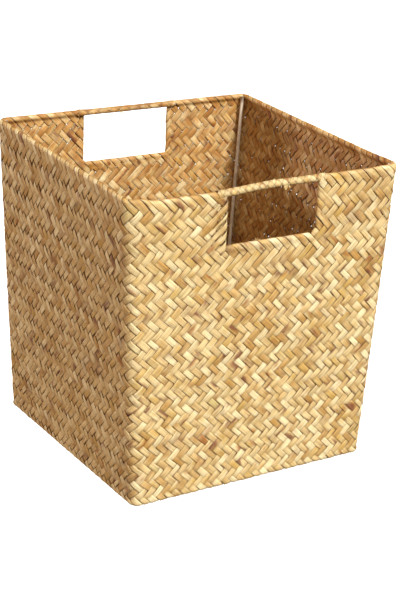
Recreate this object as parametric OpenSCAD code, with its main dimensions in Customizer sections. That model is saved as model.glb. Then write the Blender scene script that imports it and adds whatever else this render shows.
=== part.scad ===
// Square seagrass storage basket: a plaited skin, rolled over and carried by
// a welded steel wire frame, with a wrapped hand-hold in the front and back walls.
// The origin is the middle of the underside of the base, and +Z is up.

/* [Overall] */
// Outside width across the rim, the same front to back
top_w = 320; // [280:5:360]
// Outside width across the base
base_w = 292; // [260:1:300]
// Height from the floor to the top of the rim
height = 340; // [280:5:400]
// Outside radius of the four folds where the walls meet
corner_r = 12; // [12:1:24]

/* [Plaited skin] */
// Thickness of the plaited skin, two strips at each crossing
skin_t = 2.6; // [2.2:0.2:3]
// Thickness of the strips where they roll over the rim wire
roll_t = 1.2; // [1:0.1:1.6]
// Radius of the front handle bar with its wrap
handle_r = 4.2; // [3.6:0.1:5]
// Radius of the back handle bar, which is wrapped more thinly
back_handle_r = 3.4; // [3:0.1:5]
// Radius of the folded hems round the hand-holds
hem_r = 2.6; // [2.2:0.1:3]

/* [Hand-holds] */
// Clear width between the side hems
hold_w = 106; // [90:1:120]
// Clear height between the sill hem and the handle bar
hold_h = 54; // [40:1:70]
// Sideways shift of the front hand-hold, as it was woven
hold_shift = 6; // [0:1:10]

/* [Steel frame] */
// Diameter of the wire in the rim, the base ring and the corner posts
wire_d = 4; // [3:0.5:5]
// Gap that keeps each wire just clear of the strips around it
wire_gap = 0.1; // [0.05:0.05:0.3]

/* [Hidden] */
$fn = 96;
wire_r = wire_d / 2;
bore_r = wire_r + wire_gap;
border_r = roll_t + bore_r;
rim_z = height - border_r;
skin_top = rim_z - border_r;
ring_z = skin_t + bore_r;
sill_z = rim_z - handle_r - hold_h - hem_r;

// The walls lean outwards: slope is the sideways run per unit of height.
slope = (top_w - base_w) / 2 / rim_z;
lean = atan(slope);
corner_lean = atan(slope * sqrt(2));
fold_angle = acos(sin(lean) * sin(lean));
fold_inset = corner_r / cos(lean);
slack = 60;

// Bend radii round the corner folds: the rim wire hangs in the roll, the base wire lies
// inside the skin, and the posts stand inside the rim wire, where they are welded to it.
rim_bend_r = corner_r - border_r;
base_bend_r = corner_r - ring_z;
post_bend_r = rim_bend_r - wire_d;
post_top = rim_z + wire_r * 0.75;

function half_w(z) = base_w / 2 + slope * z;
function fold_at(z) = half_w(z) - fold_inset;
function ring_fold_at(z) = round(fold_at(z) * 10) / 10;
function up_slope(z) = z / cos(lean);
function tangent_x(s) = fold_at(s * cos(lean)) + slope * corner_r * sin(lean);

FRONT = 0;
RIGHT = 90;
BACK = 180;
LEFT = 270;

STRAW = [0.86, 0.72, 0.46];
STRAW_DARK = [0.74, 0.58, 0.35];
STRAW_PALE = [0.92, 0.80, 0.56];
WIRE = [0.42, 0.37, 0.32];

// ---------- helpers ----------

// Puts a shape drawn for the front wall onto the wall that faces `side` degrees.
module on_side(side) rotate([0, 0, side]) children();

// Puts a flat drawing (x across, y up the slope) on the front wall's outer face.
module on_front_face() translate([0, -base_w / 2, 0]) rotate([90 + lean, 0, 0]) children();

// Keeps what lies between two heights.
module between(z0, z1) {
    reach = top_w + slack;
    intersection() {
        children();
        translate([-reach / 2, -reach / 2, z0]) cube([reach, reach, z1 - z0]);
    }
}

// A cylinder along X, from x0 to x1.
module rod_x(r, x0, x1) translate([x0, 0, 0]) rotate([0, 90, 0]) cylinder(r = r, h = x1 - x0);

// The line that the front wall's rim wire follows.
module at_rim() translate([0, -ring_fold_at(rim_z) - rim_bend_r, rim_z]) children();

// ---------- plaited skin ----------

// The front wall's flat stretch, between the folds.
module wall_slab() {
    low = -slack / 2;
    high = up_slope(rim_z) + slack / 2;
    outline = [
        [-tangent_x(low), low], [tangent_x(low), low],
        [tangent_x(high), high], [-tangent_x(high), high]
    ];
    on_front_face()
        translate([0, 0, -skin_t])
            linear_extrude(height = skin_t) polygon(outline);
}

module plain_wall() between(skin_t, skin_top) wall_slab();

// The middle plane of the front wall, where its hems run.
module on_middle_plane() on_front_face() translate([0, 0, -skin_t / 2]) children();

module sill_rod(shift) {
    half = hold_w / 2 + 2 * hem_r;
    on_middle_plane()
        translate([shift, up_slope(sill_z), 0])
            rod_x(hem_r, -half, half);
}

module side_rod(shift, hand) {
    on_middle_plane()
        translate([shift + hand * (hold_w / 2 + hem_r), up_slope(sill_z), 0])
            rotate([-90, 0, 0])
                cylinder(r = hem_r, h = up_slope(rim_z - sill_z) + slack / 4);
}

module hold_wall(shift) {
    half = hold_w / 2 + hem_r;
    difference() {
        plain_wall();
        on_middle_plane()
            translate([shift - half, up_slope(sill_z), -slack / 2])
                cube([2 * half, hold_h + slack, slack]);
        sill_rod(shift);
        side_rod(shift, -1);
        side_rod(shift, 1);
    }
}

// A quarter of a leaning tube: the skin round the front left fold.
module corner_fold() {
    base_axis = fold_at(0);
    length = (height + slack) / cos(corner_lean);
    between(skin_t, skin_top)
        translate([-base_axis, -base_axis, 0])
            rotate(a = corner_lean, v = [1, -1, 0])
                translate([0, 0, -slack / 2])
                    rotate([0, 0, 225 - fold_angle / 2])
                        rotate_extrude(angle = fold_angle)
                            translate([corner_r - skin_t, 0]) square([skin_t, length]);
}

module woven_base() {
    corner = base_w / 2 - corner_r;
    color(STRAW_DARK)
        linear_extrude(height = skin_t)
            union() {
                square([base_w, 2 * corner], center = true);
                square([2 * corner, base_w], center = true);
                for (x = [-corner, corner], y = [-corner, corner])
                    translate([x, y]) circle(r = corner_r);
            }
}

// ---------- rolled rim border ----------

// The border's cross-section round the rim wire: a roll, with an outer leg that
// stands on the skin's top edge.
module border_profile() {
    difference() {
        union() {
            circle(r = border_r);
            translate([-border_r, -border_r]) square([skin_t, border_r]);
        }
        circle(r = bore_r);
    }
}

// A stretch of the front border, rolled over the rim wire.
module border_roll(x0, x1) {
    at_rim()
        translate([x0, 0, 0])
            rotate([90, 0, 90])
                linear_extrude(height = x1 - x0) border_profile();
}

module held_border(shift) {
    edge = hold_w / 2;
    end = ring_fold_at(rim_z);
    border_roll(-end, shift - edge);
    border_roll(shift + edge, end);
}

// Turns a cross-section round the front left fold at height z. The section's own
// left side faces out of the basket.
module round_fold(z, bend_r) {
    inset = ring_fold_at(z);
    translate([-inset, -inset, z])
        rotate([0, 0, 180])
            rotate_extrude(angle = 90)
                translate([bend_r, 0]) mirror([1, 0]) children();
}

module post_rod(r, top) {
    base_axis = fold_at(0);
    between(skin_t, top)
        translate([-base_axis, -base_axis, 0])
            rotate(a = corner_lean, v = [1, -1, 0])
                rotate([0, 0, 225])
                    translate([post_bend_r, 0, 0])
                        cylinder(r = r, h = height + slack);
}

// A corner of the border, slit for the top of the post.
module border_corner() {
    difference() {
        round_fold(rim_z, rim_bend_r) border_profile();
        post_rod(bore_r, height + slack / 2);
    }
}

// ---------- hand-holds ----------

module handle_wrap(shift, wrap_r) {
    edge = hold_w / 2;
    difference() {
        at_rim() rod_x(wrap_r, shift - edge, shift + edge);
        at_rim() rod_x(bore_r, shift - edge - 1, shift + edge + 1);
    }
}

// The two folded sides stand on the sill and run up to the border.
module side_hems(shift) {
    difference() {
        between(0, skin_top) {
            side_rod(shift, -1);
            side_rod(shift, 1);
        }
        sill_rod(shift);
    }
}

// ---------- steel frame ----------

// A closed square ring of wire with bent corners, at height z.
module wire_ring(z, bend_r) {
    straight = ring_fold_at(z);
    for (side = [FRONT, RIGHT, BACK, LEFT])
        on_side(side) {
            round_fold(z, bend_r) circle(r = wire_r);
            translate([0, -straight - bend_r, z]) rod_x(wire_r, -straight, straight);
        }
}

// A corner post, coped onto the base wire where it is welded.
module corner_post() {
    difference() {
        post_rod(wire_r, post_top);
        round_fold(ring_z, base_bend_r) circle(r = wire_r);
    }
}

// ---------- nodes ----------

woven_base();
color(STRAW) hold_wall(hold_shift);  // wall_front
color(STRAW) on_side(BACK) hold_wall(0);  // wall_back
color(STRAW_DARK) on_side(LEFT) plain_wall();  // wall_left
color(STRAW_DARK) on_side(RIGHT) plain_wall();  // wall_right
color(STRAW) corner_fold();  // corner_fold_front_left
color(STRAW) on_side(RIGHT) corner_fold();  // corner_fold_front_right
color(STRAW) on_side(BACK) corner_fold();  // corner_fold_back_right
color(STRAW) on_side(LEFT) corner_fold();  // corner_fold_back_left
color(STRAW_PALE) held_border(hold_shift);  // rim_border_front
color(STRAW_PALE) on_side(BACK) held_border(0);  // rim_border_back
color(STRAW_PALE) on_side(LEFT) border_roll(-ring_fold_at(rim_z), ring_fold_at(rim_z));  // rim_border_left
color(STRAW_PALE) on_side(RIGHT) border_roll(-ring_fold_at(rim_z), ring_fold_at(rim_z));  // rim_border_right
color(STRAW_PALE) border_corner();  // rim_corner_front_left
color(STRAW_PALE) on_side(RIGHT) border_corner();  // rim_corner_front_right
color(STRAW_PALE) on_side(BACK) border_corner();  // rim_corner_back_right
color(STRAW_PALE) on_side(LEFT) border_corner();  // rim_corner_back_left
color(STRAW_PALE) handle_wrap(hold_shift, handle_r);  // handle_wrap_front
color(STRAW_PALE) on_side(BACK) handle_wrap(0, back_handle_r);  // handle_wrap_back
color(STRAW_PALE) sill_rod(hold_shift);  // sill_hem_front
color(STRAW_PALE) on_side(BACK) sill_rod(0);  // sill_hem_back
color(STRAW_PALE) side_hems(hold_shift);  // side_hems_front
color(STRAW_PALE) on_side(BACK) side_hems(0);  // side_hems_back
color(WIRE) wire_ring(rim_z, rim_bend_r);  // rim_wire
color(WIRE) wire_ring(ring_z, base_bend_r);  // base_wire
color(WIRE) corner_post();  // post_front_left
color(WIRE) on_side(RIGHT) corner_post();  // post_front_right
color(WIRE) on_side(BACK) corner_post();  // post_back_right
color(WIRE) on_side(LEFT) corner_post();  // post_back_left
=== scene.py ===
"""Seagrass storage basket: plaited strips, rolled rim, braided hand-holds and wire frame."""

import math
from collections import namedtuple

import bpy
import numpy as np
from mathutils import Matrix, Vector


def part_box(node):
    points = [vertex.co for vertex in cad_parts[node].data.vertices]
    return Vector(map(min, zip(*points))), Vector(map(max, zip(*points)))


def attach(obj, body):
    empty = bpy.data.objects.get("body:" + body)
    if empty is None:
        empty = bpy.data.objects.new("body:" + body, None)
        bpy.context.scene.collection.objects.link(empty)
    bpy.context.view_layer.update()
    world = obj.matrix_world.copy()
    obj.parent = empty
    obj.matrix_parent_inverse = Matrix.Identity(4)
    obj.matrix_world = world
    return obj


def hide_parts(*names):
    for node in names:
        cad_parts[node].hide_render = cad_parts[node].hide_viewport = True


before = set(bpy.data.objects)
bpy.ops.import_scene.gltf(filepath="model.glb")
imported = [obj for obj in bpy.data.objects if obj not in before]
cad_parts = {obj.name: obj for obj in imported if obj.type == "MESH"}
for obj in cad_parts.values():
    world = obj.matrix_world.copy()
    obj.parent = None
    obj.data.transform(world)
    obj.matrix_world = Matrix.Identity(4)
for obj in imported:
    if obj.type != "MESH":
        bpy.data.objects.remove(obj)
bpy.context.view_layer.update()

MM = 0.001
COLUMNS = 29  # strips that lean each way, in each side
AROUND = 4 * COLUMNS  # strips that lean each way, all the way round
HALF_SIDE = COLUMNS / 2
ROWS = 32.6  # strip widths up a wall, from the bottom fold to the rim wire
FOLD_ROW = 0.5  # the row where walls and base meet, which lets the diagonals mitre evenly
FIRST_SLASH = 3  # crossing, counted in fours, at which a rising strip comes to the outside
SIDES = ["front", "right", "back", "left"]
CORNERS = ["front_left", "front_right", "back_right", "back_left"]
rng = np.random.default_rng(29)


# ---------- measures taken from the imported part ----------

base_low, base_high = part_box("woven_base")
roll_low, roll_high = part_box("rim_border_left")
turn_low, turn_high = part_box("rim_corner_front_left")
wire_low, wire_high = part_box("rim_wire")
ring_low, ring_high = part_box("base_wire")

SKIN = base_high.z - base_low.z
HALF_BASE = base_high.x
HALF_TOP = -roll_low.x
RIM_Z = (roll_low.z + roll_high.z) / 2
ROLL_R = (roll_high.z - roll_low.z) / 2
RIM_TOP = roll_high.z
CORNER_R = turn_high.x - turn_low.x
WIRE_R = (wire_high.z - wire_low.z) / 2
LEAN = math.atan((HALF_TOP - HALF_BASE) / RIM_Z)
BOTTOM_R = 4 * MM  # radius of the fold between wall and base
MID_R = CORNER_R - SKIN / 2  # radius of the upright folds, at the middle of the skin
# Radii of the lower left and lower right corners of the hand-holds.
FOOT_TURNS = {"front": (1 * MM, 9 * MM), "back": (5 * MM, 4 * MM)}


def hold_of(side):
    """The hand-hold in a wall: the lines its hems run along, as lateral distances to the right
    when facing the wall and a distance up its slope, and the radii of its bar, hems and lower
    corners."""
    low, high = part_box("side_hems_" + side)
    sill_low, sill_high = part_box("sill_hem_" + side)
    bar_low, bar_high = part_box("handle_wrap_" + side)
    radius = (sill_high.z - sill_low.z) / 2
    hand = 1 if side == "front" else -1
    left, right = sorted([hand * low.x, hand * high.x])
    return {
        "side": SIDES.index(side),
        "left": left + radius,
        "right": right - radius,
        "sill": (sill_low.z + sill_high.z) / 2 / math.cos(LEAN),
        "bar_r": (bar_high.z - bar_low.z) / 2,
        "hem_r": radius,
        "turn": FOOT_TURNS[side],
    }


HOLDS = {0: hold_of("front"), 2: hold_of("back")}


# ---------- small helpers ----------


def smooth(t):
    """An S-shaped step from 0 to 1."""
    t = np.clip(t, 0, 1)
    return t * t * (3 - 2 * t)


def ramp(value, start, end):
    """0 up to start, 1 from end on, and smooth between; end may be the lower of the two."""
    return smooth((value - start) / (end - start))


def close_to(x, y, reach):
    """1 where x and y are 0, fading to nothing over about twice the reach."""
    return np.exp(-(x**2 + y**2) / reach**2)


# ---------- the skin's middle surface ----------

TURN = math.pi / 2 - LEAN  # angle of the bottom fold
TANGENT = BOTTOM_R * math.tan(TURN / 2)
ARC = BOTTOM_R * TURN
FOOT_S = SKIN / 2 / math.cos(LEAN)
FOOT_OUT = HALF_BASE - SKIN / 2 + FOOT_S * math.sin(LEAN)
WALL_START = FOOT_S + TANGENT - ARC / 2  # slope distance where the profile length is 0
RIM_LENGTH = RIM_Z / math.cos(LEAN) - WALL_START
BASE_LENGTH = FOOT_OUT - TANGENT + ARC / 2
BASE_PITCH = BASE_LENGTH / HALF_SIDE


def profile(length):
    """Outward distance, height and outward normal of the skin at a length measured from the
    bottom fold: positive up a wall, negative across the base."""
    slope = length + WALL_START
    turned = np.clip((length + ARC / 2) / BOTTOM_R, 0, TURN)
    out = FOOT_OUT - TANGENT + BOTTOM_R * np.sin(turned)
    height = SKIN / 2 + BOTTOM_R * (1 - np.cos(turned))
    wall, base = length > ARC / 2, length < -ARC / 2
    out = np.where(wall, HALF_BASE - SKIN / 2 + slope * math.sin(LEAN), out)
    height = np.where(wall, slope * math.cos(LEAN), height)
    out = np.where(base, FOOT_OUT - TANGENT + length + ARC / 2, out)
    return out, height, np.sin(turned), -np.cos(turned)


def fold_radius(out, length):
    """Radius of the four upright folds, which dies away across the base."""
    inward = FOOT_OUT + 2 * MM - out
    return np.where(length > ARC / 2, MID_R, np.clip(MID_R - inward, 0, MID_R))


def pitch(length):
    """Distance along the wall between neighbouring strips."""
    out = profile(length)[0]
    radius = fold_radius(out, length)
    reach = HALF_SIDE + np.minimum(length, 0) / BASE_PITCH
    around = out - radius + radius * math.pi / 4
    return np.where(radius > 0, around / np.maximum(reach, 0.5), BASE_PITCH)


TOP_OPENS = 0.07  # share by which the rows are further apart near the rim


def row_table():
    """Matches rows of crossings to profile lengths; the rows open a little towards the rim."""
    length = np.linspace(0, RIM_LENGTH + 40 * MM, 2000)
    height = profile(length)[1]
    step = pitch(length) * (1 + TOP_OPENS * ramp(height, 0.68 * RIM_Z, 0.95 * RIM_Z))
    rows = np.concatenate([[0], np.cumsum(np.diff(length) / (step[1:] + step[:-1]) * 2)])
    return FOLD_ROW + rows * ROWS / np.interp(RIM_LENGTH, length, rows), length


ROW_LIST, LENGTH_LIST = row_table()
RIM_ROW = FOLD_ROW + ROWS


def length_at(row):
    """Profile length of a row, which may lie between two crossings."""
    below = (row - FOLD_ROW) * BASE_PITCH
    return np.where(row < FOLD_ROW, below, np.interp(row, ROW_LIST, LENGTH_LIST))


def wall_point(side, lateral, length, out_by):
    """A point of the skin: side 0 to 3, lateral distance from the wall's middle, profile length,
    and distance out from the middle surface."""
    out, height, n_out, n_up = profile(length)
    radius = fold_radius(out, length)
    flat = out - radius
    hand = np.sign(lateral)
    turned = np.clip((np.abs(lateral) - flat) / np.maximum(radius, 1e-6), 0, math.pi / 2)
    bent = ramp(radius, 1 * MM, 7 * MM)
    turned = turned * bent
    x = np.minimum(np.abs(lateral), flat) + radius * np.sin(turned)
    y = flat + radius * np.cos(turned)
    x = hand * (x * bent + np.abs(lateral) * (1 - bent)) + out_by * n_out * hand * np.sin(turned)
    y = y * bent + out * (1 - bent) + out_by * n_out * np.cos(turned)
    z = height + out_by * n_up
    quarter = np.asarray(side) * math.pi / 2
    cos, sin = np.cos(quarter), np.sin(quarter)
    return np.stack([x * cos + y * sin, x * sin - y * cos, z], -1)


TWIST = math.radians(-2.4)  # turn of the rim against the base
FLARE_LEFT = 1.6 * MM  # how far the near corner of the rim leans out to the left
FLARE_FRONT = 2.4 * MM  # and to the front
RIGHT_RISE = 1.4 * MM  # how far the rim's front right corner stands up
FRONT_SAG = 4.4 * MM  # how far the front rim hangs between the near corner and the hand-hold
SWELL = 0.006  # share by which the walls bulge half way up


def settle(points):
    """How this basket came off its form: the rim is turned a little against the base, the near
    corner flares, the front rim sags beside it, and the walls swell between the folds."""
    p = np.array(points, float)
    turn = TWIST * p[..., 2] / RIM_TOP
    cos, sin = np.cos(turn), np.sin(turn)
    p[..., 0], p[..., 1] = p[..., 0] * cos - p[..., 1] * sin, p[..., 0] * sin + p[..., 1] * cos
    x, y, z = p[..., 0].copy(), p[..., 1].copy(), p[..., 2].copy()
    flare = close_to(x + HALF_TOP, y + HALF_TOP, 42 * MM) * ramp(z, RIM_Z - 90 * MM, RIM_Z)
    p[..., 0] -= FLARE_LEFT * flare
    p[..., 1] -= FLARE_FRONT * flare
    right = close_to(x - HALF_TOP, y + HALF_TOP, 30 * MM)
    in_front = close_to(0, y + HALF_TOP, 34 * MM)
    beside = ramp(x, 6 * MM - HALF_TOP, 28 * MM - HALF_TOP) * ramp(x, 8 * MM, -80 * MM)
    rise = RIGHT_RISE * right - FRONT_SAG * in_front * beside
    p[..., 2] += rise * ramp(z, RIM_Z - 60 * MM, RIM_Z)
    swell = np.cos(x / HALF_TOP * math.pi / 2) + np.cos(y / HALF_TOP * math.pi / 2)
    half_way = ramp(z, 0, 0.5 * RIM_Z) * (1 - ramp(z, 0.5 * RIM_Z, RIM_Z))
    p[..., :2] *= 1 + (SWELL * swell * half_way)[..., None]
    p[..., 2] = np.maximum(p[..., 2], 0.04 * MM)
    return p


# ---------- meshes made of closed ribbons ----------

# The ring of a strip: twelve corners, from edge to edge across and above and below its middle.
RING_ACROSS = np.array([-1, -0.92, -0.5, 0, 0.5, 0.92, 1, 0.92, 0.5, 0, -0.5, -0.92])
RING_LIFT = np.array([0, 0.78, 0.95, 1, 0.95, 0.78, 0, -0.78, -0.95, -1, -0.95, -0.78])
RING_CAP = [(0, 1, 11), (1, 2, 10, 11), (2, 3, 9, 10), (3, 4, 8, 9), (4, 5, 7, 8), (5, 6, 7)]
ATLAS_ROW = 150  # rings laid side by side in one row of the texture map
ATLAS_MARGIN = 0.06  # share of a row left empty at its top and bottom


class Ribbons:
    """Gathers closed tubes of rings into one mesh, with what the materials read about them."""

    def __init__(self):
        self.points, self.quads, self.caps = [], [], []
        self.reads = {"along": [], "across": [], "seed": [], "crease_shade": [], "inside": []}
        self.maps, self.row, self.count = [], 0, 0

    def add(self, points, along, across, seed, crease_shade, cap, inside=0):
        """points is rings x corners x 3, already in place, and cap lists the faces that close
        an end. The others are what the materials read, for each ring, corner or both."""
        rings, corners = points.shape[:2]
        index = self.count + np.arange(rings * corners).reshape(rings, corners)
        after = np.roll(index, -1, axis=1)
        quads = np.stack([index[:-1], after[:-1], after[1:], index[1:]], -1).reshape(-1, 4)
        self.quads.append(quads)
        for face in cap:
            self.caps.append([index[0, i] for i in face])
            self.caps.append([index[-1, i] for i in reversed(face)])
        self.points.append(points.reshape(-1, 3))
        shape = (rings, corners)
        for name, value in zip(self.reads, (along, across, seed, crease_shade, inside)):
            self.reads[name].append(np.broadcast_to(value, shape).reshape(-1))
        ring = np.repeat(np.arange(rings - 1), corners)
        corner = np.tile(np.arange(corners), rings - 1)
        line = self.row + ring // ATLAS_ROW
        u = (ring % ATLAS_ROW)[:, None] + np.array([0, 0, 1, 1])
        v = (corner[:, None] + np.array([0, 1, 1, 0])) / corners
        v = line[:, None] + ATLAS_MARGIN + (1 - 2 * ATLAS_MARGIN) * v
        self.maps.append(np.stack([u / ATLAS_ROW, v], -1))
        self.row += (rings - 2) // ATLAS_ROW + 1
        self.count += rings * corners

    def build(self, name, nodes, material):
        """Makes the mesh, as a piece that stands for some nodes."""
        quads = np.concatenate(self.quads)
        mesh = bpy.data.meshes.new(name)
        loops = np.concatenate([quads.reshape(-1)] + [np.array(c) for c in self.caps])
        sizes = np.concatenate([np.full(len(quads), 4), [len(c) for c in self.caps]]).astype(int)
        mesh.vertices.add(self.count)
        mesh.vertices.foreach_set("co", settle(np.concatenate(self.points)).ravel())
        mesh.loops.add(len(loops))
        mesh.loops.foreach_set("vertex_index", loops.astype(np.int32))
        mesh.polygons.add(len(sizes))
        starts = np.concatenate([[0], np.cumsum(sizes)[:-1]])
        mesh.polygons.foreach_set("loop_start", starts.astype(np.int32))
        mesh.update(calc_edges=True)
        mesh.polygons.foreach_set("use_smooth", np.ones(len(sizes), bool))
        for label, values in self.reads.items():
            attribute = mesh.attributes.new(label, "FLOAT", "POINT")
            attribute.data.foreach_set("value", np.concatenate(values).astype(np.float32))
        layout = np.zeros((len(loops), 2), np.float32)
        tiles = np.concatenate(self.maps).reshape(-1, 2)
        layout[: len(tiles)] = tiles / [1, max(self.row, 1)]
        mesh.uv_layers.new(name="OFBake").data.foreach_set("uv", layout.ravel())
        mesh.validate()
        return place(mesh, name, nodes, material)


def place(mesh, name, nodes, material):
    mesh.materials.append(material)
    piece = bpy.data.objects.new(name, mesh)
    bpy.context.scene.collection.objects.link(piece)
    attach(piece, "root")
    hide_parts(*nodes)
    return piece


# ---------- plaiting ----------

GAP = 0.026  # scale of the opening on each side of a strip, in columns
STRIP_HALF = 0.6 * MM  # half of a strip's thickness
RIDE = 0.66 * MM  # how far a strip rides out from or in behind the middle surface
STRIP_TILT = 0.44 * MM  # how far out of level a strip's edges may be where it crosses another
FLOAT_RISE = 0.22 * MM  # extra arch of a strip that passes over two others
RINGS_PER_CROSSING = 3
FINE_STEP = 0.1  # distance between rings where a strip rolls, in crossings
BETWEEN = 7.3 * MM  # strip length from one crossing to the next
ACROSS_STEP = BETWEEN / math.sqrt(2)  # how far along or up a wall one crossing takes a strip
TUCK = 8.5 * MM  # length tucked into the plait after a strip has rolled over the rim
HEM_TUCK = 5 * MM  # the same beside a hand-hold
INNER = 1.25 * MM  # how far in from the middle surface the tucked ends lie
FAN = 0.14  # extra opening beside the strips that fan out at the front hand-hold, in columns
ROLL_REACH = WIRE_R + 0.1 * MM + STRIP_HALF  # from the rim wire's middle to a strip's middle
HEM_REACH = 2 * MM  # about the same at a hand-hold's hems, which have no wire
CROWN = 0.9 * MM  # how far out on the rolled rim the inside tone starts, which is partly painted shade on the crown
CALM = 0.5  # how far the strips level out where they roll over an edge

# An edge that strips roll over: a point of it, the direction past it, the radius of the roll,
# and how far out from the middle surface the roll's axis lies.
Edge = namedtuple("Edge", "x y across up reach axis_out")
RIM_LINE = Edge(0, RIM_LENGTH, 0, 1, ROLL_REACH, SKIN / 2 - ROLL_REACH - STRIP_HALF)

edge_offset = rng.uniform(-0.12, 0.12, (2, AROUND))
edge_phase = rng.uniform(0, 2 * math.pi, (2, 2, AROUND))
gap_phase = rng.uniform(0, 2 * math.pi, (2, 2, AROUND))


def edge_shift(lean, index, crossing):
    """How far the line between two neighbouring strips wanders, in columns."""
    index = int(index) % AROUND
    slow, quick = edge_phase[lean, :, index]
    wander = 0.045 * np.sin(crossing * 0.23 + slow) + 0.05 * np.sin(crossing * 0.83 + quick)
    return edge_offset[lean, index] + wander


def gap_at(lean, index, crossing):
    """Half the opening between two neighbouring strips, in columns: mostly shut, open in places
    and just below the rim."""
    slow, quick = gap_phase[lean, :, int(index) % AROUND]
    wander = np.sin(crossing * 0.37 + slow) + 0.8 * np.sin(crossing * 0.9 + quick)
    rows = RIM_ROW - crossing / 2
    below_rim = ramp(rows, 1.8, 0.9) * ramp(rows, -0.5, 0.2)
    over_rim = ramp(rows, 0.7, 0)
    opening = GAP * (0.42 + 0.72 * wander * (1 - 0.4 * over_rim) + 0.7 * below_rim)
    return np.clip(opening, 0.003, 0.066)


def hold_depth(hold, lateral, length):
    """How far inside a hand-hold's outline a point of the wall lies."""
    middle, half = (hold["left"] + hold["right"]) / 2, (hold["right"] - hold["left"]) / 2
    turn = np.where(lateral > middle, hold["turn"][1], hold["turn"][0])
    x = np.abs(lateral - middle) - half + turn
    y = hold["sill"] - WALL_START - length + turn
    outside = np.hypot(np.maximum(x, 0), np.maximum(y, 0))
    return turn - outside - np.minimum(np.maximum(x, y), 0)


def hem_edge(hold, lateral, length):
    """The edge of a hand-hold at a point of its outline."""
    step = 0.05 * MM
    across = hold_depth(hold, lateral + step, length) - hold_depth(hold, lateral - step, length)
    up = hold_depth(hold, lateral, length + step) - hold_depth(hold, lateral, length - step)
    size = math.hypot(across, up)
    reach = hold["hem_r"] - STRIP_HALF
    return Edge(lateral, length, across / size, up / size, reach, 0)


def past_edge(edge, lateral, length):
    """How far a point of the wall has gone past an edge."""
    return (lateral - edge.x) * edge.across + (length - edge.y) * edge.up


def slash_outside(column, row, near_hold):
    """Whether the strip that rises to the right is the outer one at a crossing. It is at two
    crossings out of four, always in a band below a hand-hold and where the strips fan out, and
    never along the rim and the other edges that the strips leaning the other way roll over."""
    crossing = np.round(2 * row)
    outside = np.mod(crossing - FIRST_SLASH, 4) < 2
    outside = outside & (row < RIM_ROW - 0.8)
    side = np.floor(column / COLUMNS) % 4
    for number, hold in HOLDS.items():
        lateral = (column % COLUMNS - HALF_SIDE) * pitch(length_at(row))
        above = length_at(row) + WALL_START - hold["sill"]
        here = (side == number) & near_hold
        under_sill = (lateral > hold["left"]) & (lateral < hold["right"])
        outside = outside | (here & under_sill & (above > -14 * MM) & (above < -9 * MM))
        beside = (number == 0) & (lateral < hold["left"] + 5 * MM)
        beside = beside & (lateral > hold["left"] - 19 * MM)
        outside = outside | (here & beside & (above > -4 * MM) & (row < RIM_ROW - 1.4))
        depth = hold_depth(hold, lateral, length_at(row))
        folded = (lateral > hold["left"] + 2 * MM) & (depth > -3.6 * MM)
        outside = outside & ~(here & folded)
    return outside


class Weaver:
    """A strip's way over and under the strips it crosses. Crossings are at half-integer
    positions, and ride holds the strip's height at each of them."""

    def weave(self, outer, ride, tilt):
        """Draws the strip's heights from whether it is the outer one at each crossing."""
        self.reach = len(outer) // 2
        self.ride = np.where(outer, 1, -1) * ride * rng.uniform(0.72, 1.28, len(outer))
        self.tilt = rng.uniform(-tilt, tilt, len(outer))
        self.seed = rng.random()
        self.start = rng.uniform(0, 50)

    def lift(self, position, across, rise):
        """Height of the strip's middle over the middle surface, and how creased it is there,
        which sets the painted shade there.
        """
        place_in = np.clip(position - 0.5 + self.reach, 0, len(self.ride) - 1.001)
        before = np.floor(place_in).astype(int)
        share = place_in - before
        start, end = self.ride[before], self.ride[before + 1]
        turned = ramp(share, 0.32, 0.68)
        level = (np.sign(start) == np.sign(end)) * np.sign(start)
        lift = start + (end - start) * turned + level * rise * 4 * share * (1 - share)
        tilt = self.tilt[before] * (1 - turned) + self.tilt[before + 1] * turned
        crease_shade = (1 - np.abs(level)) * (1 - np.abs(2 * share - 1))
        return lift + tilt * across, crease_shade


class Strip(Weaver):
    """One long strip: up a wall as a slash, back across the base, and up the wall before it as
    a backslash. Its position runs from negative (slash) to positive (backslash)."""

    def __init__(self, corner, number):
        self.corner = corner
        self.slash = COLUMNS * corner + number
        self.back = COLUMNS * corner - number
        self.mitre = FOLD_ROW - number  # crossing count on the base's diagonal
        reach = int(2 * RIM_ROW - self.mitre) + 14
        middles = np.arange(-reach, reach) + 0.5
        column, row = self.at(middles)
        slash = slash_outside(column % AROUND, row, row > 20)
        self.weave(np.where(middles < 0, slash, ~slash), RIDE, STRIP_TILT)

    def at(self, position):
        """Column and row of the strip's centre line."""
        row = (self.mitre + np.abs(position)) / 2
        column = np.where(position < 0, self.slash + row, self.back - row)
        return column, row


def roll_over(beyond, out_by, axis_out, radius):
    """Turns a strip that has gone past an edge round a cord or wire and back into the plait.
    Returns the distance past the edge and the distance out from the middle surface."""
    arm = out_by - axis_out
    angle = np.clip(beyond / radius, 0, math.pi)
    after = np.maximum(beyond - math.pi * radius, 0)
    settle_in = smooth(after / (0.6 * TUCK)) * (axis_out - radius + INNER)
    past = np.where(beyond < 0, beyond, arm * np.sin(angle) - after)
    return past, axis_out + arm * np.cos(angle) - settle_in


ROLL_SPAN = 12  # crossings from a strip's end within which it may roll over an edge


def fan_share(strip, position):
    """How far a strip is in the place left of the front hand-hold where the strips that rise to
    the right fan out, from 0 to 1."""
    column, row = strip.at(position)
    length = length_at(row)
    lateral = (column % COLUMNS - HALF_SIDE) * pitch(length)
    hold = HOLDS[0]
    here = np.floor(column / COLUMNS) % 4 == 0
    beside = ramp(lateral, hold["left"] - 22 * MM, hold["left"] - 10 * MM)
    beside = beside * (lateral < hold["left"] + 12 * MM)
    above = ramp(length + WALL_START - hold["sill"], -9 * MM, 2 * MM)
    return here * beside * above


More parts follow.
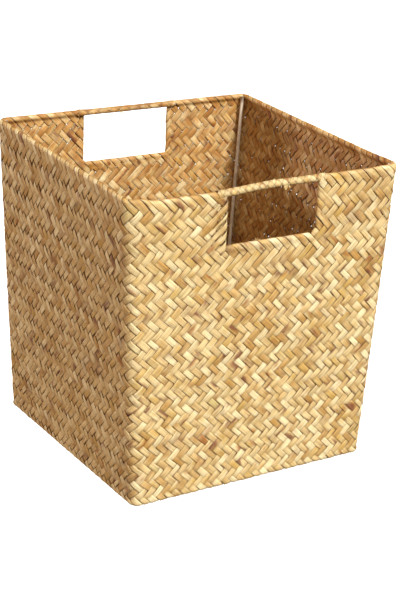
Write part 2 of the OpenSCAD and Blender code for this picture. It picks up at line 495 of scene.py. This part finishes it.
def room(strip, position, fan):
    """The room that a strip's neighbours leave it, in columns: how far its middle is moved, and
    its half width."""
    crossing = strip.mitre + np.abs(position)
    rising = position < 0
    sides = []
    for more in (0, 1):
        slash, back = strip.slash + more, strip.back + more
        edge = np.where(rising, edge_shift(0, slash, crossing), edge_shift(1, back, crossing))
        gap = np.where(rising, gap_at(0, slash, crossing), gap_at(1, back, crossing))
        sides.append((edge, gap + FAN * fan * rising))
    (low_edge, low_gap), (high_edge, high_gap) = sides
    fade = smooth(np.abs(position) / 5)
    shift = (low_edge + high_edge) / 2 * fade + (low_gap - high_gap) / 2
    half = 0.5 + (high_edge - low_edge) / 2 * fade - (low_gap + high_gap) / 2
    return shift, half


def slant(position, cuts):
    """How far the rings lean, so that the ends of a stretch are cut along the edges they meet."""
    reach = min(1.6, 0.45 * (position[-1] - position[0]))
    first = cuts[0] * (1 - ramp(position, position[0], position[0] + reach))
    return first + cuts[1] * ramp(position, position[-1] - reach, position[-1])


def strip_points(strip, position, cuts, rolls, flat):
    """Places the rings of a stretch of strip. cuts are those at its two ends: 1 is cut level,
    -1 upright and 0 square. rolls are (end, edge): which end goes over which edge. flat says
    that the stretch crosses the base."""
    rising = position < 0
    leg = np.where(rising, -1, 1)[:, None]
    crossing = strip.mitre + np.abs(position)
    fan = fan_share(strip, position)
    shift, half = room(strip, position, fan)
    wide = -RING_ACROSS * leg * half[:, None]
    leaning = crossing[:, None] - slant(position, cuts)[:, None] * wide * leg
    lift, crease_shade = strip.lift((leaning - strip.mitre) * leg, RING_ACROSS, FLOAT_RISE)
    wide = wide + shift[:, None]
    row = (leaning + wide * leg) / 2
    column = np.where(rising, strip.slash, strip.back)[:, None] + wide - row * leg
    side = np.floor(strip.at(position)[0] / COLUMNS)
    if flat:
        on_base = crossing / 2 < FOLD_ROW + 1
        side = np.where(on_base, np.where(rising, strip.corner, strip.corner - 1), side)
    side = side[:, None]
    length = length_at(row)
    lateral = (column - side * COLUMNS - HALF_SIDE) * pitch(length)
    out_by = lift + RING_LIFT * STRIP_HALF
    level = 0
    for end, edge in rolls:
        near = (np.abs(position - position[end]) < ROLL_SPAN) & (rising == (end == 0))
        near = near[:, None]
        at = past_edge(edge, lateral, length)
        # On the rim the inside tone, partly painted shade, starts out past the roll's axis, over
        # its crown.
        inner_tone = CROWN if edge is RIM_LINE else 0
        level = np.where(near & (at > -1 * MM), edge.axis_out + inner_tone, level)
        calm = CALM * near * ramp(at, -3 * MM, 0.5 * MM)
        out_by = out_by + calm * (RIDE - lift)
        lateral, length, out_by = roll_edge(edge, near, lateral, length, out_by)
    # The strip's inward side takes the inside tone: partly a less faded inside, partly painted
    # shade.
    inside = ramp(out_by - level, 0.2 * MM, -0.5 * MM)
    # Painted shade: the strips behind the fan at the front hand-hold get the full painted shade
    # of the creases and the inside tone, in place of the shadow there.
    behind = (fan * ~rising * ramp(RIM_ROW - crossing / 2, 1, 2))[:, None]
    crease_shade, inside = np.maximum(crease_shade, behind), np.maximum(inside, behind)
    return wall_point(side % 4, lateral, length, out_by), crease_shade, inside


def roll_edge(edge, near, lateral, length, out_by):
    """Turns the part of a strip that has passed an edge over it."""
    at = past_edge(edge, lateral, length)
    raised = 0 if edge.axis_out else ramp(at, -8 * MM, -1 * MM) * (edge.reach - RIDE)
    past, rolled = roll_over(at, out_by + raised, edge.axis_out, edge.reach)
    moved = np.where(near, past - at, 0)
    lateral, length = lateral + edge.across * moved, length + edge.up * moved
    return lateral, length, np.where(near, rolled, out_by)


def ring_positions(start, end, fine):
    """Ring positions between two ends, three to a crossing and closer where a strip rolls."""
    count = max(int((end - start) * RINGS_PER_CROSSING), 2)
    rings = [np.linspace(start, end, count + 1)]
    for low, high in fine:
        low, high = max(low, start), min(high, end)
        if high > low:
            rings.append(np.arange(low, high, FINE_STEP))
    merged = np.unique(np.round(np.concatenate(rings), 4))
    keep = np.concatenate([[True], np.diff(merged) > FINE_STEP / 2])
    return merged[keep]


def leg_breaks(strip, hand):
    """The stretches of one leg of a strip, which a hand-hold may divide: a list of (from, to,
    name of the first edge, name of the last edge, last edge), with distances counted from the
    base's mitre."""
    top = 2 * RIM_ROW - strip.mitre
    distance = np.arange(0, top, 0.02)
    column, row = strip.at(distance * hand)
    side = np.floor(column / COLUMNS) % 4
    length = length_at(row)
    lateral = (column % COLUMNS - HALF_SIDE) * pitch(length)
    for number, hold in HOLDS.items():
        hit = (side == number) & (hold_depth(hold, lateral, length) > 0) & (row > 20)
        if not hit.any():
            continue
        first, last = np.argmax(hit), len(hit) - 1 - np.argmax(hit[::-1])
        edge = hem_edge(hold, lateral[first], length[first])
        name = "sill" if edge.up > 0.5 else ("left" if edge.across > 0 else "right")
        parts = [(0, distance[first], None, name, edge)]
        if last < len(hit) - 1:
            left = "left" if hand > 0 else "right"
            parts.append((distance[last], top, left, "rim", RIM_LINE))
        return parts
    return [(0, top, None, "rim", RIM_LINE)]


EDGE_CUT = {"rim": 1, "sill": 1, "left": -1, "right": -1}
# Crossings by which the strips that don't roll over an edge stop short of it.
SHORT_BY = {"rim": 0.42, "sill": 0.25, "left": 0.1, "right": 0.1}


def clear_of_holds(strip, run):
    """Shortens the end that a strip tucks in behind the rim, so that it stays out of a
    hand-hold beside it."""
    column, row = strip.at(2 * RIM_ROW - strip.mitre)
    side = int(np.floor(column / COLUMNS)) % 4
    if side in HOLDS:
        lateral = (column % COLUMNS - HALF_SIDE) * pitch(RIM_LENGTH)
        beside = (lateral - HOLDS[side]["right"]) / ACROSS_STEP - 0.5
        if beside > -1.5:
            return max(min(run, beside), 0.8)
    return run


def edge_run(strip, hand, edge, distance):
    """How far a strip runs in all, counted from the mitre, the cut it ends in, and whether it
    rolls over the edge. Those that roll go round and are tucked; the others stop short."""
    rolls = edge == "left" if hand < 0 else edge != "left"
    if not rolls:
        return distance - SHORT_BY[edge], EDGE_CUT[edge], False
    reach, tuck = (ROLL_REACH, TUCK) if edge == "rim" else (HEM_REACH, HEM_TUCK)
    run = (math.pi * reach + tuck * rng.uniform(0.8, 1.05)) / ACROSS_STEP
    if edge == "rim":
        run = clear_of_holds(strip, run)
    else:
        run = min(run, max(2 * RIM_ROW - strip.mitre - 0.9 - distance, 0.7))
    return distance + run, 0, True


SHORTEST = 0.6  # crossings of strip below which a stretch is left out


def plait(strip, ribbons):
    """Adds every stretch of one strip to the mesh."""
    legs = {hand: leg_breaks(strip, hand) for hand in (-1, 1)}
    runs = {hand: edge_run(strip, hand, legs[hand][0][3], legs[hand][0][1]) for hand in (-1, 1)}
    rolls = [(end, legs[hand][0][4]) for end, hand in ((0, -1), (-1, 1)) if runs[hand][2]]
    ends = (-runs[-1][0], runs[1][0])
    add_stretch(strip, ribbons, ends, (runs[-1][1], runs[1][1]), rolls, True)
    for hand in (-1, 1):
        for low, high, first, last, edge in legs[hand][1:]:
            far, cut, rolled = edge_run(strip, hand, last, high)
            near = low - 0.1
            if far - near < SHORTEST:
                continue
            cuts = (EDGE_CUT[first], cut) if hand > 0 else (cut, EDGE_CUT[first])
            ends = (near, far) if hand > 0 else (-far, -near)
            add_stretch(strip, ribbons, ends, cuts, [(-1, edge)] if rolled else [], False)


def add_stretch(strip, ribbons, ends, cuts, rolls, flat):
    """Adds the stretch of a strip between two positions, with closer rings where it rolls."""
    fine = [(ends[0], ends[0] + 6) if end == 0 else (ends[1] - 6, ends[1]) for end, _ in rolls]
    position = ring_positions(*ends, fine)
    points, crease_shade, inside = strip_points(strip, position, cuts, rolls, flat)
    along = (strip.start + position * BETWEEN)[:, None]
    ribbons.add(points, along, RING_ACROSS, strip.seed, crease_shade, RING_CAP, inside)


# ---------- braided bars ----------

STRANDS = 2  # each way round a bar
BRAID_RINGS = 12  # for each cell of the braid
BRAID_RIDE = 0.17 * MM
BRAID_TILT = 0.1 * MM


class Strand(Weaver):
    """One strand of a braid that winds round a bar, to the right or to the left."""

    def __init__(self, hand, count):
        middles = np.arange(-2 * count - 8, 2 * count + 8)
        self.weave(np.mod(middles, 2) == (hand > 0), BRAID_RIDE, BRAID_TILT)


def braid(hold, name, cell, overlap, shreds, material):
    """The braided wrap of a bar: strands wind both ways, over one and under the next. Its
    shreds are torn ends that stick out of it."""
    ribbons = Ribbons()
    start, end = hold["left"] - overlap[0], hold["right"] + overlap[1]
    for hand in (1, -1):
        for number in range(STRANDS):
            add_strand(ribbons, hold, hand, number, start, end, cell)
    for spread, path, half in shreds:
        add_shred(ribbons, hold, spread, path, half)
    return ribbons.build(name + "_strands", [name], material)


def add_strand(ribbons, hold, hand, number, start, end, cell):
    """A strand of a braid that runs from start to end along a bar, once round in STRANDS cells.
    The wrap is thicker at its two ends and a little lumpy."""
    middle_r = (WIRE_R + hold["bar_r"]) / 2 + 0.1 * MM
    thick = (hold["bar_r"] - WIRE_R) / 4 + 0.1 * MM
    count = (end - start) / cell
    strand = Strand(hand, int(count) + 2)
    u = np.linspace(0, count, int(count * BRAID_RINGS))
    v = hand * (u - number)
    half = 0.5 * (1 + 0.07 * np.sin(u * 1.7 + number)) - 0.015
    wide = RING_ACROSS * half[:, None]
    lift, crease_shade = strand.lift(2 * v[:, None] + 0.5, RING_ACROSS, 0)
    lateral = start + (u[:, None] + wide / 2) * cell
    angle = (v[:, None] - hand * wide / 2) / STRANDS * 2 * math.pi
    swell = ramp(lateral, start + 12 * MM, start) + ramp(lateral, end - 12 * MM, end)
    lumps = np.sin(lateral * 130) + np.sin(lateral * 310 + 2)
    radius = middle_r + (0.6 * swell + 0.08 * lumps) * MM + lift + RING_LIFT * thick
    points = bar_point(hold, lateral, radius, angle)
    along = (strand.start + u * cell * 1.4)[:, None]
    # The bar's inward half takes the inside tone, partly painted shade.
    inside = ramp(np.cos(angle), 0.3, -0.5)
    ribbons.add(points, along, RING_ACROSS, strand.seed, crease_shade, RING_CAP, inside)


SHRED_HALF = 0.22 * MM  # half of a shred's thickness


def add_shred(ribbons, hold, spread, path, half):
    """A loose shred of strip. Its path and the direction across it are in millimetres along the
    bar, out from it and up; half is its half width at each point of the path."""
    path, spread = np.array(path, float) * MM, np.array(spread, float)
    ahead = np.gradient(path, axis=0)
    ahead /= np.linalg.norm(ahead, axis=1, keepdims=True)
    sideways = spread - ahead * (ahead @ spread)[:, None]
    sideways /= np.linalg.norm(sideways, axis=1, keepdims=True)
    normal = np.cross(ahead, sideways)
    wide = RING_ACROSS[:, None] * np.array(half)[:, None, None] * MM
    rings = path[:, None] + wide * sideways[:, None]
    rings = rings + RING_LIFT[:, None] * SHRED_HALF * normal[:, None]
    along, out, up = rings[..., 0], rings[..., 1], rings[..., 2]
    points = bar_point(hold, along, np.hypot(out, up), np.arctan2(up, out))
    measure = np.linspace(0, 0.01, len(path))[:, None]
    ribbons.add(points, measure, RING_ACROSS * 0.8, rng.random(), 0.0, RING_CAP)


def bar_point(hold, lateral, radius, angle):
    """A point round the rim wire along a hand-hold."""
    out = HALF_TOP - ROLL_R + radius * np.cos(angle)
    height = RIM_Z + radius * np.sin(angle)
    hand = 1 if hold["side"] == 0 else -1
    return np.stack(np.broadcast_arrays(hand * lateral, -hand * out, height), -1)


# ---------- wires ----------


WIRE_CORNERS = 12
RING_GAP = 1 * MM  # length of wire that the material's pattern counts for each ring


def tube_rings(path):
    """Round rings along the middle of a wire."""
    ahead = np.gradient(path, axis=0)
    ahead /= np.linalg.norm(ahead, axis=1, keepdims=True)
    upright = np.abs(ahead[:, 2]).max() > 0.9
    sideways = np.cross(ahead, [1.0, 0.0, 0.0] if upright else [0.0, 0.0, 1.0])
    sideways /= np.linalg.norm(sideways, axis=1, keepdims=True)
    normal = np.cross(sideways, ahead)
    angle = np.linspace(0, 2 * math.pi, WIRE_CORNERS, endpoint=False)[:, None]
    ring = np.cos(angle) * sideways[:, None] + np.sin(angle) * normal[:, None]
    return path[:, None] + WIRE_R * ring


def wire_piece(name, path, material):
    ribbons = Ribbons()
    along = np.arange(len(path))[:, None] * RING_GAP
    ribbons.add(tube_rings(path), along, 0.0, 0.5, 0.0, [tuple(range(WIRE_CORNERS))])
    return ribbons.build(name + "_round", [name], material)


def rim_wire_path():
    """The closed rim ring, starting and ending in the middle of the front bar."""
    bend, flat = CORNER_R - ROLL_R, HALF_TOP - CORNER_R
    run = np.linspace(0, flat, 14)
    arc = np.linspace(0, math.pi / 2, 10)
    beside = np.full(13, flat + bend)
    x = np.concatenate([run[:-1], flat + bend * np.sin(arc), beside])
    y = np.concatenate([-beside, -flat - bend * np.cos(arc), -run[-2::-1]])
    sides = []
    for quarter in range(4):
        cos, sin = math.cos(quarter * math.pi / 2), math.sin(quarter * math.pi / 2)
        sides.append(np.stack([x * cos - y * sin, x * sin + y * cos, x * 0 + RIM_Z], -1)[:-1])
    return np.concatenate(sides)


def post_path(name):
    """The middle of a corner post, from its foot to its top."""
    low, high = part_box(name)
    signs = [math.copysign(1, (low[i] + high[i]) / 2) for i in (0, 1)]
    outer = [max(abs(low[i]), abs(high[i])) - WIRE_R for i in (0, 1)]
    inner = [min(abs(low[i]), abs(high[i])) + WIRE_R for i in (0, 1)]
    share = np.linspace(0, 1, 30)[:, None]
    foot = np.array([signs[0] * inner[0], signs[1] * inner[1], low.z])
    top = np.array([signs[0] * outer[0], signs[1] * outer[1], high.z])
    return foot + (top - foot) * share


# ---------- materials ----------


def linear(red, green, blue):
    """An sRGB colour of 0 to 255 as the linear colour a shader takes."""
    shares = [value / 255 for value in (red, green, blue)]
    curved = [s / 12.92 if s <= 0.04045 else ((s + 0.055) / 1.055) ** 2.4 for s in shares]
    return (*curved, 1)


GREENISH = linear(176, 166, 96)
# Brown of the painted shade along strip edges and in creases, and of small dark spots.
SHADE_AND_SPOT_BROWN = linear(52, 25, 6)
STAIN = linear(134, 84, 62)
UNBLEACHED_AND_SHADE = (0.71, 0.485, 0.29, 1)  # tint of the inside: partly a less faded inside, partly painted shade and warm bounce light inside the basket
WIRE_CLEAN = linear(216, 202, 178)
WIRE_WORN = linear(184, 168, 144)
WIRE_DUST = linear(198, 184, 160)


def new_material(name):
    material = bpy.data.materials.new(name)
    material.use_nodes = True
    tree = material.node_tree
    shader = tree.nodes["Principled BSDF"]
    return material, tree, shader


def node(tree, kind, **inputs):
    """A shader node with its inputs set or linked, by name, or by number as i0, i1 and so on."""
    made = tree.nodes.new("ShaderNode" + kind)
    for name, value in inputs.items():
        key = int(name[1:]) if name[0] == "i" and name[1:].isdigit() else name.replace("_", " ")
        if hasattr(value, "is_output"):
            tree.links.new(value, made.inputs[key])
        else:
            made.inputs[key].default_value = value
    return made


def math_node(tree, operation, a, b=0.0):
    made = node(tree, "Math", i0=a, i1=b)
    made.operation = operation
    return made.outputs[0]


def read(tree, name):
    made = tree.nodes.new("ShaderNodeAttribute")
    made.attribute_name = name
    return made.outputs["Fac"]


def strip_space(tree, along, across, seed):
    """A noise coordinate stretched along the strip."""
    x = math_node(tree, "MULTIPLY", read(tree, "along"), along)
    y = math_node(tree, "MULTIPLY", read(tree, "across"), across)
    z = math_node(tree, "MULTIPLY", read(tree, "seed"), seed)
    return node(tree, "CombineXYZ", X=x, Y=y, Z=z).outputs[0]


def noise(tree, where, scale=1.0, detail=2.0, rough=0.5):
    made = node(tree, "TexNoise", Vector=where, Scale=scale, Detail=detail, Roughness=rough)
    return made.outputs[0]


def blend(tree, share, a, b, mode="MIX"):
    """Two colours mixed by a share, which may be a number or an output."""
    made = tree.nodes.new("ShaderNodeMix")
    made.data_type = "RGBA"
    made.blend_type = mode
    for key, value in ((0, share), (6, a), (7, b)):
        if hasattr(value, "is_output"):
            tree.links.new(value, made.inputs[key])
        else:
            made.inputs[key].default_value = value
    return made.outputs[2]


def darken(tree, colour, value, low, high, dark, light):
    """A colour times a grey that goes from dark to light as a value goes from low to high."""
    shade = remap(tree, value, low, high, dark, light)
    grey = node(tree, "CombineColor", Red=shade, Green=shade, Blue=shade).outputs[0]
    return blend(tree, 1.0, colour, grey, "MULTIPLY")


def remap(tree, value, low, high, to_low=0.0, to_high=1.0):
    """A value carried smoothly from one range to another, and held at its ends."""
    made = node(tree, "MapRange", i0=value, i1=low, i2=high, i3=to_low, i4=to_high)
    made.interpolation_type = "SMOOTHSTEP"
    return made.outputs[0]


def grass_tone(tree, pale, tan, brown):
    """Tone that differs between strips and drifts along each, with brown, greenish and stained
    patches."""
    own = tree.nodes.new("ShaderNodeTexWhiteNoise")
    own.noise_dimensions = "1D"
    tree.links.new(read(tree, "seed"), own.inputs["W"])
    drift = noise(tree, strip_space(tree, 9, 0.2, 91), 1, 3, 0.6)
    quick = noise(tree, strip_space(tree, 62, 0.15, 47), 1, 1, 0.5)
    toned = math_node(tree, "ADD", math_node(tree, "MULTIPLY", own.outputs[0], 0.4), drift)
    toned = math_node(tree, "ADD", toned, math_node(tree, "MULTIPLY", quick, 0.9))
    colour = blend(tree, remap(tree, toned, 0.85, 1.5), pale, tan)
    patch = noise(tree, strip_space(tree, 34, 0.35, 57), 1, 2, 0.5)
    colour = blend(tree, remap(tree, patch, 0.57, 0.74, 0, 0.85), colour, brown)
    green = noise(tree, strip_space(tree, 14, 0.2, 33), 1, 1, 0.5)
    colour = blend(tree, remap(tree, green, 0.64, 0.8, 0, 0.45), colour, GREENISH)
    stain = noise(tree, node(tree, "TexCoord").outputs["Object"], 34, 3, 0.6)
    return blend(tree, remap(tree, stain, 0.56, 0.74, 0, 0.45), colour, STAIN)


def grass_fibres(tree, colour):
    """Streaks, fibres and hairs that run along a strip. Returns the fibres and hairs too."""
    streak = noise(tree, strip_space(tree, 18, 2.3, 71), 1, 2, 0.6)
    colour = darken(tree, colour, streak, 0.33, 0.68, 0.84, 1.1)
    fibre = noise(tree, strip_space(tree, 30, 7, 211), 1, 4, 0.65)
    colour = darken(tree, colour, fibre, 0.32, 0.72, 0.76, 1.1)
    hair = noise(tree, strip_space(tree, 45, 22, 131), 1, 2, 0.7)
    return darken(tree, colour, hair, 0.3, 0.7, 0.86, 1.08), fibre, hair


def grass_age_and_shade(tree, colour, spot_share):
    """Inside tone, partly a less faded inside and partly painted shade; painted shade along the
    edges and in the creases; small dark spots.
    """
    # Inside tone: partly a less faded inside, partly painted shade and warm bounce light inside
    # the basket.
    uneven = noise(tree, strip_space(tree, 55, 0.3, 77), 1, 2, 0.6)
    uneven = remap(tree, uneven, 0.36, 0.62, 0.35, 1)
    inner_tone = math_node(tree, "MULTIPLY", read(tree, "inside"), uneven)
    colour = blend(tree, inner_tone, colour, blend(tree, 1.0, colour, UNBLEACHED_AND_SHADE, "MULTIPLY"))
    # Painted shade along the strips' edges, stronger in some places than in others.
    edge = math_node(tree, "POWER", math_node(tree, "ABSOLUTE", read(tree, "across")), 16)
    edge_shade_noise = noise(tree, strip_space(tree, 70, 1.5, 23), 1, 1, 0.5)
    edge = math_node(tree, "MULTIPLY", edge, remap(tree, edge_shade_noise, 0.35, 0.65, 0.4, 1))
    colour = blend(tree, edge, colour, SHADE_AND_SPOT_BROWN)
    # Painted shade in the creases where a strip dives under another, and on the strips behind the
    # fan.
    crease_shade = math_node(tree, "POWER", read(tree, "crease_shade"), 4)
    colour = blend(tree, math_node(tree, "MULTIPLY", crease_shade, 0.45), colour, SHADE_AND_SPOT_BROWN)
    spots = noise(tree, strip_space(tree, 420, 3.2, 17), 1, 1, 0.5)
    spotted = remap(tree, spots, spot_share, spot_share + 0.05, 0, 0.75)
    return blend(tree, spotted, colour, SHADE_AND_SPOT_BROWN)


def add_bump(tree, shader, height, strength, distance):
    bump = node(tree, "Bump", Height=height)
    bump.inputs["Strength"].default_value = strength
    bump.inputs["Distance"].default_value = distance
    tree.links.new(bump.outputs[0], shader.inputs["Normal"])


def seagrass(name, pale, tan, brown, rough, spot_share):
    """Dried grass strip. It has fewer spots the higher its spot share is."""
    material, tree, shader = new_material(name)
    colour, fibre, hair = grass_fibres(tree, grass_tone(tree, pale, tan, brown))
    tree.links.new(grass_age_and_shade(tree, colour, spot_share), shader.inputs["Base Color"])
    roughness = remap(tree, fibre, 0.3, 0.75, rough + 0.12, rough - 0.08)
    tree.links.new(roughness, shader.inputs["Roughness"])
    ridges = math_node(tree, "ADD", fibre, math_node(tree, "MULTIPLY", hair, 0.5))
    add_bump(tree, shader, ridges, 0.6, 0.5 * MM)
    shader.inputs["Specular IOR Level"].default_value = 0.36
    return material


def painted_wire(name):
    """Pale grey-brown paint with rubbed and dusty patches."""
    material, tree, shader = new_material(name)
    where = node(tree, "TexCoord").outputs["Object"]
    worn = noise(tree, where, 160, 4, 0.6)
    dust = noise(tree, where, 45, 3, 0.6)
    colour = blend(tree, remap(tree, worn, 0.45, 0.7), WIRE_CLEAN, WIRE_WORN)
    colour = blend(tree, remap(tree, dust, 0.5, 0.75, 0, 0.6), colour, WIRE_DUST)
    tree.links.new(colour, shader.inputs["Base Color"])
    tree.links.new(remap(tree, worn, 0.3, 0.8, 0.38, 0.6), shader.inputs["Roughness"])
    add_bump(tree, shader, worn, 0.3, 0.2 * MM)
    return material


GLOSSY = seagrass(
    "seagrass_glossy", linear(246, 228, 178), linear(206, 168, 94), linear(162, 100, 48), 0.4, 0.8
)
MATT = seagrass(
    "seagrass_matt", linear(232, 206, 148), linear(190, 146, 78), linear(122, 68, 48), 0.6, 0.74
)
BRAID = seagrass(
    "seagrass_braid", linear(230, 208, 154), linear(202, 164, 96), linear(156, 98, 46), 0.5, 0.82
)
WIRE = painted_wire("frame_wire")


# ---------- the plaited pieces ----------


def skin_nodes(corner):
    """The CAD nodes that the strips starting at one corner stand for."""
    first, second = SIDES[corner], SIDES[corner - 1]
    names = ["woven_base", "wall_" + first, "wall_" + second, "corner_fold_" + CORNERS[corner]]
    names += ["rim_border_" + first, "rim_border_" + second, "rim_corner_" + CORNERS[corner]]
    for side in (first, second):
        if side in ("front", "back"):
            names += ["sill_hem_" + side, "side_hems_" + side]
    return names


for corner in range(4):
    for glossy in (True, False):
        ribbons = Ribbons()
        for number in range(COLUMNS):
            if (COLUMNS * corner + number) % 2 == int(glossy):
                plait(Strip(corner, number), ribbons)
        ribbons.build(
            f"strips_{CORNERS[corner]}_{'glossy' if glossy else 'matt'}",
            skin_nodes(corner),
            GLOSSY if glossy else MATT,
        )

FRONT_SHREDS = [  # direction across, path, half widths
    (
        (1, 0, 0.1),
        [(18, 3.6, -1), (18.4, 4.4, -3), (18.8, 4.2, -5), (19, 3.4, -6.8)],
        (2, 2.4, 2, 1),
    ),
    ((1, 0.3, 0), [(22, 3.4, -2), (22.8, 4, -4), (24, 3.8, -5.4)], (1.1, 1, 0.3)),
    ((1, 0.2, 0), [(6, 1, 3.6), (6.4, 1.2, 4.6), (7, 1.2, 5.5)], (1.1, 0.9, 0.3)),
    ((1, 0.4, 0), [(-18, 1, 3.8), (-17.6, 1.3, 4.6), (-17, 1.5, 5.2)], (0.8, 0.6, 0.2)),
    ((1, 0, 0), [(-8, -2.6, -59), (-8.4, -2.2, -57), (-9, -2.4, -55.6)], (0.5, 0.4, 0.2)),
    ((1, 0, 0), [(-10, -2.8, -59), (-10.4, -3, -57.2), (-11.4, -3, -56)], (0.6, 0.4, 0.2)),
    ((1, 0, 0), [(-6, -2.6, -59), (-5.7, -2.3, -57.4), (-6, -2, -56.4)], (0.45, 0.35, 0.2)),
]
BACK_SHREDS = [((1, 0, 0.2), [(7, -2, -1.5), (7.4, -2.6, -3), (8, -2.6, -4.2)], (1.6, 1.4, 0.4))]
braid(HOLDS[0], "handle_wrap_front", 8.4 * MM, (8 * MM, 6 * MM), FRONT_SHREDS, BRAID)
braid(HOLDS[2], "handle_wrap_back", 13 * MM, (5 * MM, 5 * MM), BACK_SHREDS, BRAID)
wire_piece("rim_wire", rim_wire_path(), WIRE)
for corner in CORNERS:
    wire_piece("post_" + corner, post_path("post_" + corner), WIRE)
base_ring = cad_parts["base_wire"]
base_ring.data.materials.clear()
base_ring.data.materials.append(WIRE)


# ---------- stage, light and camera ----------

CAMERA_TARGET = Vector((18.8 * MM, 0, 152.6 * MM))
CAMERA_AZIMUTH = math.radians(-32.4)
CAMERA_RISE = math.radians(21.25)
CAMERA_ROLL = math.radians(2.4)
CAMERA_DISTANCE = 1895 * MM
CAMERA_LENS = 101.5
FLOOR_WHITE = 0.8
FLOOR_HALF, SLOPE_HALF, SLOPE_TOP = 12, 22, 10  # metres: the flat part, its slopes, their height
WORLD = 0.24
WORLD_TINT = (1, 0.66, 0.44, 1)
LAMPS = [  # name, bearing, height and spread in degrees, strength, colour
    ("key", 8, 42, 7, 3.45, (0.98, 0.985, 1)),
    ("soft_key", 5, 42, 40, 1.9, (0.96, 1, 1)),
    ("side", -140, 8, 12, 1.6, (1, 0.84, 0.78)),
    ("low_left", -66, 22, 30, 0.5, (1, 0.8, 0.68)),
    ("floor_light", 0, 90, 4, 6, (1, 1, 1)),
]


def direction(azimuth, rise):
    """The direction to a bearing, 0 being straight in front, and a height, in radians."""
    level = math.cos(rise)
    return Vector((math.sin(azimuth) * level, -math.cos(azimuth) * level, math.sin(rise)))


def add_camera():
    back = direction(CAMERA_AZIMUTH, CAMERA_RISE)
    right = (-back).cross(Vector((0, 0, 1))).normalized()
    up = right.cross(-back)
    x_axis = math.cos(CAMERA_ROLL) * right + math.sin(CAMERA_ROLL) * up
    y_axis = math.cos(CAMERA_ROLL) * up - math.sin(CAMERA_ROLL) * right
    turn = Matrix((x_axis, y_axis, back)).transposed().to_4x4()
    data = bpy.data.cameras.new("camera")
    data.lens = CAMERA_LENS
    data.sensor_width = 36
    camera = bpy.data.objects.new("camera", data)
    camera.matrix_world = Matrix.Translation(CAMERA_TARGET + back * CAMERA_DISTANCE) @ turn
    bpy.context.scene.collection.objects.link(camera)
    bpy.context.scene.camera = camera


def add_floor():
    """A pale floor whose far edges slope up, so that the horizon stays out of every view."""
    mesh = bpy.data.meshes.new("floor")
    ring = [(-1, -1), (1, -1), (1, 1), (-1, 1)]
    points = [(x * FLOOR_HALF, y * FLOOR_HALF, 0) for x, y in ring]
    points += [(x * SLOPE_HALF, y * SLOPE_HALF, SLOPE_TOP) for x, y in ring]
    slopes = [(i, (i + 1) % 4, (i + 1) % 4 + 4, i + 4)[::-1] for i in range(4)]
    mesh.from_pydata(points, [], [(0, 1, 2, 3)] + slopes)
    material, tree, shader = new_material("floor_white")
    shader.inputs["Base Color"].default_value = (FLOOR_WHITE, FLOOR_WHITE, FLOOR_WHITE, 1)
    shader.inputs["Roughness"].default_value = 0.9
    shader.inputs["Specular IOR Level"].default_value = 0.1
    mesh.materials.append(material)
    floor = bpy.data.objects.new("floor", mesh)
    bpy.context.scene.collection.objects.link(floor)
    # Its white isn't cast on the basket, which it would turn milky.
    floor.visible_diffuse = floor.visible_glossy = floor.visible_shadow = False
    return floor


def add_sun(name, azimuth, rise, spread, strength, colour):
    """A soft, even lamp from a bearing (0 is straight in front) and a height, in degrees."""
    away = direction(math.radians(azimuth), math.radians(rise))
    data = bpy.data.lights.new(name, "SUN")
    data.energy, data.angle, data.color = strength, math.radians(spread), colour
    lamp = bpy.data.objects.new(name, data)
    lamp.location = away * 3
    lamp.rotation_euler = away.to_track_quat("Z", "Y").to_euler()
    bpy.context.scene.collection.objects.link(lamp)
    return lamp


def light_only(lamp, floor, on_floor):
    """Keeps a lamp on the floor alone, without shadows on it, or off the floor."""
    group = bpy.data.collections.new(lamp.name + "_receivers")
    group.objects.link(floor)
    lamp.light_linking.receiver_collection = group
    if on_floor:
        lamp.light_linking.blocker_collection = group
    else:
        group.collection_objects[0].light_linking.link_state = "EXCLUDE"


def add_world():
    world = bpy.data.worlds.new("studio")
    world.use_nodes = True
    background = world.node_tree.nodes["Background"]
    background.inputs["Color"].default_value = WORLD_TINT
    background.inputs["Strength"].default_value = WORLD
    bpy.context.scene.world = world


add_camera()
floor = add_floor()
for name, *lamp in LAMPS:
    light_only(add_sun(name, *lamp), floor, name == "floor_light")
add_world()
bpy.context.scene.view_settings.view_transform = "Standard"
